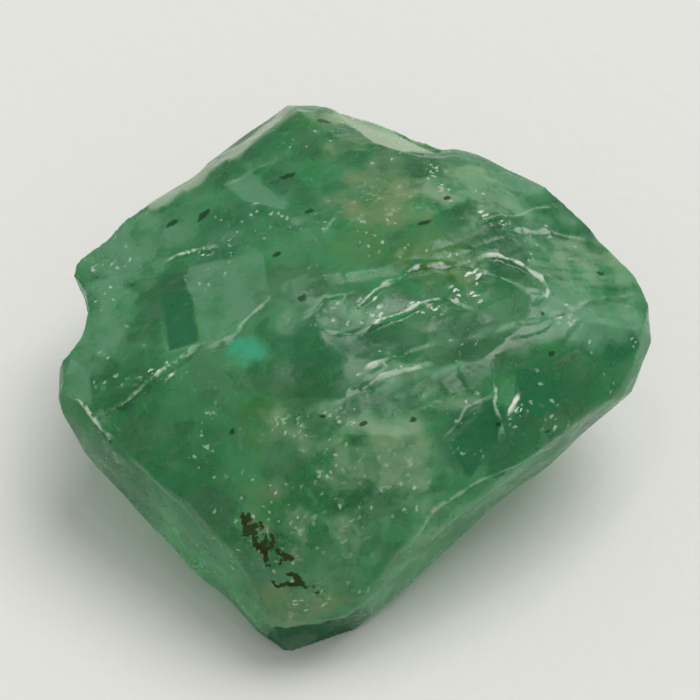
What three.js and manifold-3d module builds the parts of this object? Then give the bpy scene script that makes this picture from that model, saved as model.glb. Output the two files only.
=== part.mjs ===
// A rough emerald: one broken lump of beryl, lying on its flattest break.
//
// The lump is the convex block that its corners span, with a slightly uneven skin, and hollow,
// shell-like breaks cut from it. The flat face that it rests on is kept true.
// Units are millimetres and +Z is up. +X runs along the longest side, and -Y is the side where the
// lump slopes down to a point. The origin is under the middle of the lump, on what it rests on.

import * as THREE from "three";
import { ConvexGeometry } from "three/addons/geometries/ConvexGeometry.js";
import { ImprovedNoise } from "three/addons/math/ImprovedNoise.js";
import { TessellateModifier } from "three/addons/modifiers/TessellateModifier.js";
import { mergeVertices } from "three/addons/utils/BufferGeometryUtils.js";
import Module from "manifold-3d";

const wasm = await Module();
wasm.setup();

// ---- Driving dimensions -------------------------------------------------------------------------

const LONGEST_EDGE = 0.95; // the skin is divided until no triangle is longer than this
const BALL_FACET = 0.75; // the size of the facets on a ball that cuts a hollow
const TESSELLATE_PASSES = 12;
const MERGE_DISTANCE = 1e-4;

// Swells of the skin: the length of one, and how far it moves the skin.
const SWELLS = [
  { length: 2.8, depth: 0.24 },
  { length: 1.3, depth: 0.12 },
];
const SKIN_STEADY_BELOW = 0.6; // the swells fade out over this height above the resting face

// The corners of the block, grouped by the edge or face that they belong to.
const CORNERS = {
  backLeftWall: [
    [-6.4, 5.2, 5.4],
    [-3.1, 7.3, 6.1],
    [-2.0, 8.4, 6.3],
  ],
  backLeftBevel: [
    [-6.0, 5.0, 5.9],
    [-3.0, 6.2, 6.9],
    [-1.6, 7.5, 7.1],
  ],
  backWall: [
    [-0.2, 8.5, 6.2],
    [1.5, 7.6, 6.1],
    [3.0, 6.3, 6.5],
    [4.9, 5.9, 6.6],
    [6.4, 4.9, 6.6],
    [7.3, 3.5, 6.4],
  ],
  rightWall: [
    [8.4, 2.5, 6.1],
    [9.1, 1.1, 5.8],
    [9.2, 0.3, 4.9],
    [8.5, -0.8, 4.2],
  ],
  rightBevel: [
    [8.8, 0.2, 6.0],
    [7.8, -1.8, 5.2],
  ],
  frontRightFoot: [
    [6.9, -1.9, 3.4],
    [5.8, -2.4, 3.0],
    [4.6, -3.5, 2.2],
    [2.4, -5.2, 1.2],
    [0.7, -6.5, 0.7],
  ],
  frontRightShoulder: [
    [5.0, -4.0, 5.2],
    [3.1, -5.0, 5.0],
    [1.5, -6.3, 3.9],
  ],
  frontLip: [
    [0.0, -7.3, 2.1],
    [-1.5, -7.6, 2.3],
    [-2.2, -7.6, 2.4],
  ],
  frontLeftFoot: [
    [-2.6, -7.0, 0.4],
    [-6.0, -4.1, 1.8],
    [-7.6, -2.7, 3.0],
    [-9.0, -1.6, 4.4],
  ],
  frontLeftShoulder: [
    [-3.3, -6.4, 4.0],
    [-5.5, -4.3, 4.8],
    [-6.8, -3.2, 5.2],
    [-8.7, -1.3, 5.0],
  ],
  leftWall: [
    [-8.6, -0.4, 5.0],
    [-8.3, 3.2, 5.2],
    [-7.5, 4.3, 5.3],
  ],
  crest: [
    [-6.5, -2.4, 6.0],
    [-3.9, -0.9, 7.0],
    [-1.6, 0.6, 7.8],
    [2.3, 1.1, 8.1],
    [5.6, 0.4, 7.8],
    [7.3, -0.5, 6.9],
  ],
  crown: [
    [-0.6, 5.4, 7.6],
    [3.0, 4.1, 7.8],
    [5.9, 2.8, 7.4],
    [0.9, -4.4, 7.0],
    [4.3, -3.1, 6.7],
    [-1.4, -7.1, 3.9],
  ],
  underside: [
    [-6.6, 3.4, 3.0],
    [-1.6, 7.2, 3.6],
    [2.8, 6.2, 3.4],
    [6.6, 3.4, 3.0],
    [8.0, 0.6, 3.2],
    [-7.2, 1.0, 3.0],
    [-5.8, 2.6, 1.2],
    [-2.4, 5.8, 1.3],
    [3.0, 5.2, 1.0],
    [5.4, 1.2, 1.1],
    [-5.8, -2.6, 1.0],
  ],
  restingFace: [
    [-1.8, -7.4, 0],
    [0.2, -6.6, 0],
    [3.6, -1.6, 0],
    [3.6, 2.6, 0],
    [0.6, 4.8, 0],
    [-2.4, 4.2, 0],
    [-4.6, 0.6, 0],
    [-4.2, -3.6, 0],
  ],
};

// Hollow shell-like breaks. Each takes a dish out of the lump: `at` is the dish's lowest middle on the
// skin before the cut, `facing` points straight out of it, `radius` is that of the ball it fits, and
// `depth` is how deep the ball goes in. `stretch` draws the ball out along a line `turn` degrees
// from +X.
const HOLLOWS = {
  leftNotch: {
    at: [-8.4, 1.3, 4.6],
    facing: [-1, 0.05, 0.1],
    radius: 2.1,
    depth: 0.62,
    stretch: 1.2,
    turn: 0,
  },
  eye: {
    at: [1.9, 0.6, 8.05],
    facing: [0.03, -0.3, 1],
    radius: 5,
    depth: 0.26,
    stretch: 2.2,
    turn: -2,
  },
  eyeInner: {
    at: [2.6, 0.3, 7.8],
    facing: [0, -0.5, 1],
    radius: 3.4,
    depth: 0.24,
    stretch: 2.4,
    turn: 4,
  },
  smoothLeft: {
    at: [-4.7, -3.7, 5.5],
    facing: [-0.35, -0.55, 1],
    radius: 13,
    depth: 0.24,
    stretch: 1.2,
    turn: -45,
  },
  frontBowl: {
    at: [-0.9, -5.9, 5.3],
    facing: [0, -0.85, 1],
    radius: 10,
    depth: 0.2,
    stretch: 1.2,
    turn: 20,
  },
  underLip: {
    at: [-0.9, -7.6, 0.9],
    facing: [0.1, -1, -0.15],
    radius: 2.4,
    depth: 0.5,
    stretch: 1.5,
    turn: 0,
  },
  frontRight: {
    at: [3.6, -5.0, 3.2],
    facing: [0.65, -0.75, -0.3],
    radius: 8,
    depth: 0.4,
    stretch: 1.6,
    turn: 40,
  },
  crownLeft: {
    at: [-4.9, 2.4, 6.5],
    facing: [-0.45, 0.1, 1],
    radius: 9,
    depth: 0.26,
    stretch: 1.4,
    turn: 30,
  },
  crownBack: {
    at: [0.9, 4.6, 7.8],
    facing: [0, 0.2, 1],
    radius: 12,
    depth: 0.2,
    stretch: 1.4,
    turn: -30,
  },
  crownRight: {
    at: [6.3, 2.2, 7.1],
    facing: [0.5, 0.3, 1],
    radius: 9,
    depth: 0.24,
    stretch: 1.3,
    turn: -50,
  },
  backShelf: {
    at: [1.5, 7.1, 6.9],
    facing: [0.2, 0.45, 1],
    radius: 2.4,
    depth: 0.42,
    stretch: 1.8,
    turn: -32,
  },
  backUnder: {
    at: [2.4, 7.0, 4.6],
    facing: [0.3, 1, -0.3],
    radius: 9,
    depth: 0.6,
    stretch: 1.5,
    turn: -20,
  },
  backLeftUnder: {
    at: [-5.2, 5.2, 3.4],
    facing: [-0.8, 1, -0.4],
    radius: 10,
    depth: 0.5,
    stretch: 1.4,
    turn: 40,
  },
  rightUnder: {
    at: [7.2, 0.8, 2.6],
    facing: [1, 0, -0.8],
    radius: 8,
    depth: 0.5,
    stretch: 1.2,
    turn: 0,
  },
  leftUnder: {
    at: [-7.2, -0.6, 2.2],
    facing: [-1, 0, -0.7],
    radius: 9,
    depth: 0.45,
    stretch: 1.3,
    turn: 0,
  },
};

const UP = new THREE.Vector3(0, 0, 1);
const ICOSAHEDRON_EDGE = 1.05; // the edge of an icosahedron in a ball of radius 1

const deg = THREE.MathUtils.degToRad;
const vector = (xyz) => new THREE.Vector3(...xyz);

function solidOf(geometry) {
  const bare = geometry.clone();
  bare.deleteAttribute("normal");
  bare.deleteAttribute("uv");
  const merged = mergeVertices(bare, MERGE_DISTANCE);
  return new wasm.Manifold(
    new wasm.Mesh({
      numProp: 3,
      vertProperties: new Float32Array(merged.attributes.position.array),
      triVerts: new Uint32Array(merged.index.array),
    }),
  );
}

function geometryOf(solid) {
  const mesh = solid.getMesh();
  const geometry = new THREE.BufferGeometry();
  geometry.setAttribute("position", new THREE.BufferAttribute(mesh.vertProperties, 3));
  geometry.setIndex(new THREE.BufferAttribute(mesh.triVerts, 1));
  return geometry;
}

// Divides a closed skin finely enough to bend, and moves its points in and out by smooth noise,
// less and less towards the resting face.
function unevenSkin(geometry) {
  const divided = new TessellateModifier(LONGEST_EDGE, TESSELLATE_PASSES).modify(geometry);
  const noise = new ImprovedNoise();
  const point = new THREE.Vector3();
  const position = divided.attributes.position;
  for (let i = 0; i < position.count; i++) {
    point.fromBufferAttribute(position, i);
    const steady = THREE.MathUtils.clamp(point.z / SKIN_STEADY_BELOW, 0, 1);
    const shift = new THREE.Vector3();
    for (const { length, depth } of SWELLS) {
      const [x, y, z] = point.clone().divideScalar(length).toArray();
      const swell = [noise.noise(x, y, z + 10), noise.noise(x + 20, y, z), noise.noise(x, y + 30, z)];
      shift.addScaledVector(vector(swell), depth);
    }
    point.addScaledVector(shift, steady);
    position.setXYZ(i, point.x, point.y, point.z);
  }
  return divided;
}

function block() {
  return solidOf(unevenSkin(new ConvexGeometry(Object.values(CORNERS).flat().map(vector))));
}

function hollow({ at, facing, radius, depth, stretch, turn }) {
  const detail = Math.ceil((ICOSAHEDRON_EDGE * radius) / BALL_FACET) - 1;
  const outward = vector(facing).normalize();
  const middle = vector(at).addScaledVector(outward, radius - depth);
  const ball = new THREE.IcosahedronGeometry(radius, detail);
  ball.scale(stretch, 1, 1);
  ball.rotateZ(deg(turn));
  ball.applyQuaternion(new THREE.Quaternion().setFromUnitVectors(UP, outward));
  return solidOf(ball.translate(middle.x, middle.y, middle.z));
}

function crystalGeometry() {
  let lump = block();
  for (const place of Object.values(HOLLOWS)) {
    lump = lump.subtract(hollow(place));
  }
  const geometry = geometryOf(lump);
  geometry.computeBoundingBox();
  const middle = geometry.boundingBox.getCenter(new THREE.Vector3());
  geometry.translate(-middle.x, -middle.y, -geometry.boundingBox.min.z);
  geometry.computeVertexNormals();
  return geometry;
}

const crystal = new THREE.Mesh(
  crystalGeometry(),
  new THREE.MeshStandardMaterial({
    name: "emerald",
    color: new THREE.Color(0.06, 0.19, 0.09),
    roughness: 0.3,
    metalness: 0,
  }),
);
crystal.name = "emerald_crystal";

const part = new THREE.Group();
part.add(crystal);

export default part;
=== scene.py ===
"""A rough emerald: the crystal's broken skin, its cloudy green body and the plain stage around it.

Lengths in the relief and the sealed pieces are in millimetres in the crystal's own frame, and each
finished piece is brought to metres by MM.
"""

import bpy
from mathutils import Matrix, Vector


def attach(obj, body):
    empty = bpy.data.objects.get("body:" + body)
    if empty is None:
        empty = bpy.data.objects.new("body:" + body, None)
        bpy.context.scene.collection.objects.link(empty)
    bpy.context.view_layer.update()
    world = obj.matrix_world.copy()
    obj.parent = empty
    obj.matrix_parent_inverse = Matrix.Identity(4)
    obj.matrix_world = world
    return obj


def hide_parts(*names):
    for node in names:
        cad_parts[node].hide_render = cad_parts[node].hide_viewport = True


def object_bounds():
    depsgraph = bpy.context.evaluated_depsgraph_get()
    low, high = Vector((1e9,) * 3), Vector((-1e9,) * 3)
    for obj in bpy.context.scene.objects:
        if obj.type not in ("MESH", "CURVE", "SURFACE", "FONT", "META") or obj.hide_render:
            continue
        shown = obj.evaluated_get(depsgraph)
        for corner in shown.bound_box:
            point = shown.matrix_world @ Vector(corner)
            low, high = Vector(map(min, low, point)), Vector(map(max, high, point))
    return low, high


bl_info = {
    "name": "Rough emerald crystal",
    "version": (1, 0, 0),
    "blender": (4, 5, 0),
    "location": "3D View > Sidebar > Emerald",
    "description": "Makes a rough emerald's broken skin, its cloudy green body and a plain stage",
    "category": "Object",
}

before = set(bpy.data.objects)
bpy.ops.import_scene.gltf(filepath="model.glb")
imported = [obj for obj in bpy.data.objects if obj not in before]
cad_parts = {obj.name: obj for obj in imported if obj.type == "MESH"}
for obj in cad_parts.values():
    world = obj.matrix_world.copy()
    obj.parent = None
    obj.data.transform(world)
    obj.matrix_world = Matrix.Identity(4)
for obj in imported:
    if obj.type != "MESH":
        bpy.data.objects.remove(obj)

import math
import random
from collections import namedtuple

import bmesh
import bpy
import numpy as np
from bpy.props import FloatProperty, FloatVectorProperty, IntProperty, PointerProperty
from mathutils import Matrix, Vector, noise
from mathutils.bvhtree import BVHTree

MM = 0.001
BODY = "root"
NODE = "emerald_crystal"
CAD_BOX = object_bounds()


# ---- Settings -----------------------------------------------------------------------------------


class EmeraldSkinSettings(bpy.types.PropertyGroup):
    """Sizes of the crystal's broken skin, in millimetres"""

    grain: FloatProperty(name="Grain", description="Spacing of the skin's points, in mm", default=0.068)
    most_triangles: IntProperty(
        name="Most triangles", description="How many the skin keeps", default=190000
    )
    shells: FloatProperty(
        name="Shells", description="Depth of the shell-like breaks, in mm", default=0.1
    )
    splinters: FloatProperty(
        name="Splinters", description="Height of the long splinters, in mm", default=0.028
    )


class EmeraldColourSettings(bpy.types.PropertyGroup):
    """Colours and optics of the crystal"""

    body: FloatVectorProperty(
        name="Body", description="Usual green of the crystal", subtype="COLOR", default=(0.028, 0.5, 0.15)
    )
    light_body: FloatVectorProperty(
        name="Light body", description="Green of its lighter clouds", subtype="COLOR",
        default=(0.14, 0.57, 0.245)
    )
    refraction: FloatProperty(name="Refraction", description="Index of refraction of beryl", default=1.58)
    clearness: FloatProperty(
        name="Clearness", description="How much of the light goes through", subtype="FACTOR", default=0.75
    )


class EmeraldStageSettings(bpy.types.PropertyGroup):
    """Camera, floor and light"""

    elevation: FloatProperty(
        name="Elevation", description="Height of the view above level", subtype="ANGLE",
        default=math.radians(55)
    )
    distance: FloatProperty(
        name="Distance", description="From the camera to what it looks at", unit="LENGTH", default=0.11
    )
    seen_width: FloatProperty(
        name="Seen width", description="Width of the view at the crystal", unit="LENGTH", default=0.02114
    )
    floor: FloatVectorProperty(
        name="Floor", description="Colour of the paper", subtype="COLOR", default=(0.86, 0.86, 0.835)
    )


# ---- Places on the crystal ----------------------------------------------------------------------
# All in millimetres in the crystal's own frame.

GROWTH = Vector((0.9, 0.42, 0.08)).normalized()  # the length of the prism that the lump broke from
ACROSS = GROWTH.cross(Vector((0, 0, 1))).normalized()

# A broken edge runs through its corners. Going along it, the skin falls on the right-hand side by drop and
# comes back over run. The edge itself stands up by lip, and bright says how strongly a painted highlight
# line, partly frosted, whitens it.
Edge = namedtuple("Edge", "corners drop run lip bright")

EDGES = (
    # the long scarp across the left
    Edge(drop=0.26, run=1.2, lip=0.06, bright=0.7, corners=(
        (-7.6, -2.7, 5.1), (-6.7, -2.5, 5.6), (-5.8, -2.0, 6.2), (-4.3, -1.3, 7.0),
    )),
    Edge(drop=0.2, run=0.5, lip=0.03, bright=0.4, corners=(
        (-4.4, -1.6, 6.9), (-3.8, -1.4, 7.1), (-2.7, -0.4, 7.5), (-2.2, 0.1, 7.6),
    )),
    # the top of the eye-shaped hollow and the loop at its right
    Edge(drop=0.16, run=0.7, lip=0.06, bright=1.0, corners=(
        (-0.1, -0.7, 7.6), (0.6, -0.1, 7.7), (1.5, 0.5, 7.8), (2.3, 0.8, 7.9), (3.4, 0.8, 8.0),
    )),
    Edge(drop=0.12, run=0.5, lip=0.04, bright=0.4, corners=(
        (-1.5, -0.9, 7.6), (-0.9, -0.2, 7.7), (0.1, -0.1, 7.7),
    )),
    Edge(drop=0.13, run=0.5, lip=0.05, bright=0.8, corners=(
        (3.6, 0.9, 8.0), (4.3, 1.2, 7.8), (4.9, 1.0, 7.7), (5.5, 0.6, 7.6), (5.7, 0.1, 7.6),
    )),
    Edge(drop=0.08, run=0.3, lip=0.04, bright=0.6, corners=(
        (5.7, 0.3, 7.6), (5.6, -0.2, 7.6), (5.0, -0.1, 7.7),
    )),
    # the ledge at its foot
    Edge(drop=0.18, run=1.2, lip=0.09, bright=1.0, corners=(
        (0.0, -1.5, 7.4), (0.8, -0.9, 7.4), (1.9, -0.3, 7.5), (2.7, -0.2, 7.5), (3.6, -0.5, 7.5),
    )),
    Edge(drop=-0.06, run=0.6, lip=0.03, bright=0.4, corners=(
        (-1.4, -1.1, 7.4), (-0.7, -1.4, 7.4), (0.1, -1.5, 7.4),
    )),
    # small breaks on the right
    Edge(drop=0.08, run=0.8, lip=0.04, bright=0.5, corners=(
        (4.1, 2.1, 7.8), (5.0, 2.5, 7.3), (5.9, 2.9, 6.7), (7.2, 3.0, 6.2),
    )),
    Edge(drop=-0.1, run=0.7, lip=0.04, bright=0.3, corners=(
        (3.5, 2.2, 7.9), (5.0, 3.2, 7.1), (6.3, 4.2, 6.4),
    )),
    Edge(drop=0.1, run=0.9, lip=0.03, bright=0.3, corners=(
        (4.1, -1.3, 7.4), (6.0, -0.6, 7.4), (7.6, 0.5, 6.8), (8.5, 1.1, 6.1),
    )),
    Edge(drop=0.1, run=0.6, lip=0.03, bright=0.5, corners=(
        (-0.7, -3.6, 7.0), (0.8, -2.8, 7.3), (2.4, -2.3, 7.4),
    )),
    Edge(drop=0.1, run=0.4, lip=0.04, bright=0.7, corners=(
        (0.3, -2.6, 7.4), (1.1, -2.1, 7.3),
    )),
    # the crack that ends the dark patch, and the breaks round it
    Edge(drop=-0.12, run=0.5, lip=0.04, bright=0.6, corners=(
        (4.0, -2.2, 7.3), (4.1, -3.3, 6.8), (4.3, -4.0, 5.8),
    )),
    Edge(drop=0.1, run=0.5, lip=0.03, bright=0.4, corners=(
        (2.6, -4.4, 6.4), (3.3, -3.6, 7.0), (4.1, -3.1, 6.9),
    )),
    Edge(drop=0.1, run=0.4, lip=0.08, bright=1.0, corners=(
        (4.4, -3.5, 6.3), (4.9, -2.9, 6.6),
    )),
    # the rim of the front face and the lip at the front end
    Edge(drop=0.08, run=0.8, lip=0.03, bright=0.3, corners=(
        (1.4, -6.6, 3.7), (2.2, -5.9, 4.7), (3.4, -5.1, 5.0), (4.9, -4.4, 5.0), (6.1, -3.3, 4.7),
    )),
    Edge(drop=0.5, run=2.0, lip=0.03, bright=0.2, corners=(
        (-2.7, -7.7, 1.9), (-2.2, -8.0, 1.9), (-1.4, -7.7, 1.5), (-0.8, -7.9, 2.1), (0.3, -7.4, 2.1),
    )),
    # the upper rim of the left side
    Edge(drop=0.1, run=0.8, lip=0.05, bright=0.9, corners=(
        (-8.6, -1.9, 5.0), (-8.1, -2.2, 5.2), (-7.0, -3.5, 5.0),
    )),
    Edge(drop=0.04, run=0.8, lip=0.02, bright=0.2, corners=(
        (-7.0, -3.5, 5.0), (-5.5, -4.9, 4.4), (-4.0, -6.3, 3.7),
    )),
    # the two small breaks at the top left
    Edge(drop=0.1, run=0.6, lip=0.05, bright=0.9, corners=(
        (-5.7, 2.3, 6.0), (-4.9, 2.5, 6.3), (-4.0, 2.4, 6.7),
    )),
    Edge(drop=-0.12, run=0.6, lip=0.04, bright=0.2, corners=(
        (-3.9, 4.6, 6.8), (-3.0, 4.8, 7.1), (-2.3, 5.2, 7.2),
    )),
)

# A pane is a flat break: the cloud whose colour shows through it, how strongly, and its corners. In the
# pale and ledge panes that colour is partly painted sheen of flat faces that catch the light.
Pane = namedtuple("Pane", "cloud strength corners")

PANES = (
    Pane("pale", 0.9, (
        (-5.1, 1.5, 6.3), (-4.9, 1.9, 6.3), (-2.7, 1.7, 7.3), (-2.4, -0.3, 7.6), (-4.2, -1.5, 7.0),
    )),
    Pane("teal", 1.2, (
        (-5.8, 1.1, 6.1), (-4.8, 0.9, 6.5), (-4.5, -1.3, 6.9), (-5.4, -1.3, 6.4),
    )),
    Pane("pale", 1.2, (
        (-3.9, 4.6, 6.8), (-3.0, 4.8, 7.1), (-2.0, 3.2, 7.4), (-3.3, 3.8, 7.1),
    )),
    Pane("frost_and_glint", 0.6, (
        (-8.0, 2.5, 5.3), (-7.6, 3.1, 5.3), (-7.4, 2.9, 5.4), (-7.8, 2.3, 5.4),
    )),
    Pane("pale", 1.3, (
        (-7.7, 2.0, 5.4), (-6.9, 2.2, 5.6), (-7.0, 1.2, 5.6), (-7.5, 0.6, 5.6),
    )),
    Pane("pale", 1.0, (
        (-8.7, -1.7, 5.0), (-8.4, -0.8, 5.3), (-7.8, -1.4, 5.5), (-7.7, -2.5, 5.3),
    )),
    Pane("teal", 1.2, (
        (2.8, -4.4, 6.3), (4.1, -3.2, 6.9), (4.2, -4.1, 5.9), (3.4, -5.0, 5.2),
    )),
    Pane("teal", 0.9, (
        (4.8, -2.3, 7.0), (5.7, -2.3, 6.6), (6.0, -2.7, 6.0), (5.4, -3.3, 5.8), (4.7, -3.1, 6.6),
    )),
    Pane("teal", 0.8, (
        (6.9, -0.6, 7.0), (8.2, -0.4, 6.3), (8.5, -0.6, 5.8), (7.6, -1.5, 5.7), (6.6, -1.5, 6.7),
    )),
    Pane("pale", 1.1, (
        (8.8, -0.1, 5.5), (8.5, -0.7, 5.3), (7.7, -1.6, 3.9), (7.4, -2.2, 5.2), (8.1, -1.0, 5.8),
    )),
    Pane("pale", 0.9, (
        (4.1, 5.4, 6.8), (5.8, 4.7, 6.6), (5.3, 4.2, 6.8), (4.4, 4.6, 7.0),
    )),
    Pane("ledge", 1.2, (
        (-0.4, 7.7, 6.4), (1.5, 6.7, 6.4), (2.5, 6.0, 6.7), (1.4, 5.5, 7.3), (0.6, 5.9, 7.3),
        (-0.1, 7.0, 6.7),
    )),
    Pane("pale", 0.5, (
        (-0.0, -5.9, 5.5), (1.3, -5.9, 5.0), (0.8, -7.0, 3.5), (0.2, -7.4, 2.9),
    )),
)

# Rust in thin cracks: each stroke by its corners and its width.
RUST = (
    (((-3.15, -5.96, 4.81), (-3.12, -6.2, 4.7), (-2.91, -6.26, 4.74), (-3.09, -6.38, 4.61)), 0.16),
    (((-2.88, -6.48, 4.61), (-2.82, -6.68, 4.43)), 0.1),
    (((-2.8, -6.74, 4.36), (-2.65, -6.81, 4.31), (-2.59, -6.71, 4.47)), 0.14),
    (((-2.71, -6.21, 4.83), (-2.59, -6.46, 4.68), (-2.47, -6.67, 4.52)), 0.035),
    (((-2.56, -6.88, 4.26), (-2.48, -7.13, 3.95)), 0.08),
    (((-2.39, -6.6, 4.58), (-2.21, -6.86, 4.34), (-2.01, -6.97, 4.24), (-1.81, -7.05, 4.21)), 0.08),
    (((-2.19, -7.12, 4.04), (-2.07, -7.07, 4.12), (-1.95, -7.06, 4.17)), 0.05),
    (((-2.37, -7.37, 3.45), (-2.25, -7.47, 3.33)), 0.04),
    (((-2.14, -7.51, 3.34), (-1.96, -7.5, 3.5), (-1.7, -7.56, 3.59), (-1.49, -7.54, 3.62)), 0.06),
    (((-1.87, -7.37, 3.84), (-1.67, -7.44, 3.84), (-1.55, -7.53, 3.66)), 0.06),
    (((-1.41, -7.57, 3.5), (-1.2, -7.54, 3.46)), 0.05),
    (((-1.12, -7.6, 3.27), (-1.03, -7.6, 3.22)), 0.05),
    (((-0.84, -7.56, 3.17), (-0.8, -7.54, 3.17)), 0.04),
)

# Dark grains just under the skin: their middles, half lengths along the growth line and half widths.
GRAINS = (
    ((-2.0, 4.5, 7.3), 0.29, 0.06), ((-5.5, 3.7, 6.1), 0.23, 0.06), ((-4.5, 3.7, 6.5), 0.32, 0.10),
    ((-2.3, 1.5, 7.5), 0.12, 0.06), ((-1.5, -0.3, 7.7), 0.12, 0.06), ((2.1, 2.2, 8.0), 0.25, 0.05),
    ((2.8, 3.3, 7.8), 0.10, 0.05), ((-0.9, -3.9, 6.9), 0.07, 0.03), ((0.3, -4.2, 7.0), 0.09, 0.04),
    ((1.7, -4.1, 7.0), 0.10, 0.05), ((5.7, -3.5, 5.5), 0.12, 0.02), ((7.4, 1.6, 6.4), 0.10, 0.05),
    ((5.8, -1.8, 7.0), 0.06, 0.04), ((4.2, -3.8, 6.3), 0.07, 0.03), ((-0.9, 6.9, 7.0), 0.44, 0.12),
    ((-1.3, 3.0, 7.6), 0.12, 0.04), ((5.5, -0.7, 7.5), 0.05, 0.02), ((-3.6, -3.9, 6.0), 0.06, 0.03),
)

# A spot has a middle, how far it reaches each way, and how strong it is there. The breaks are
# shallow where the skin is calm, it is lower where it is worn, and long splinters stand where it is
# splintered.
CALM = (
    ((-4.4, -4.6, 4.8), (3.4, 2.6, 3.0), 0.9),
    ((-6.0, -5.2, 2.6), (4.4, 4.4, 3.2), 1.0),
    ((2.6, -1.6, 7.3), (2.4, 0.8, 1.0), 0.5),
    ((3.2, -5.8, 3.0), (4.0, 2.0, 2.6), 0.6),
)
WORN = (
    ((-9.0, 0.6, 4.4), (1.4, 3.6, 3.5), 0.5),
    ((2.3, 6.5, 6.2), (0.8, 0.8, 1.0), 0.8),
    ((-5.5, 5.0, 5.6), (3.0, 1.2, 1.6), 0.5),
)
SPLINTERED = (
    ((5.6, 0.6, 7.0), (3.4, 3.0, 3.0), 1.0),
    ((2.2, -2.6, 7.2), (2.4, 1.2, 1.5), 0.8),
    ((1.6, 4.8, 7.3), (2.6, 2.2, 1.5), 0.5),
    ((0.2, -6.2, 4.8), (1.4, 1.6, 1.8), 0.6),
)

# What the green changes to, and where: in soft spots, and in strokes of a width along their corners. Some
# of these are painted light and shadow rather than the crystal's own colour, as noted at each.
Cloud = namedtuple("Cloud", "colour clear spots strokes", defaults=((),))

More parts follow.
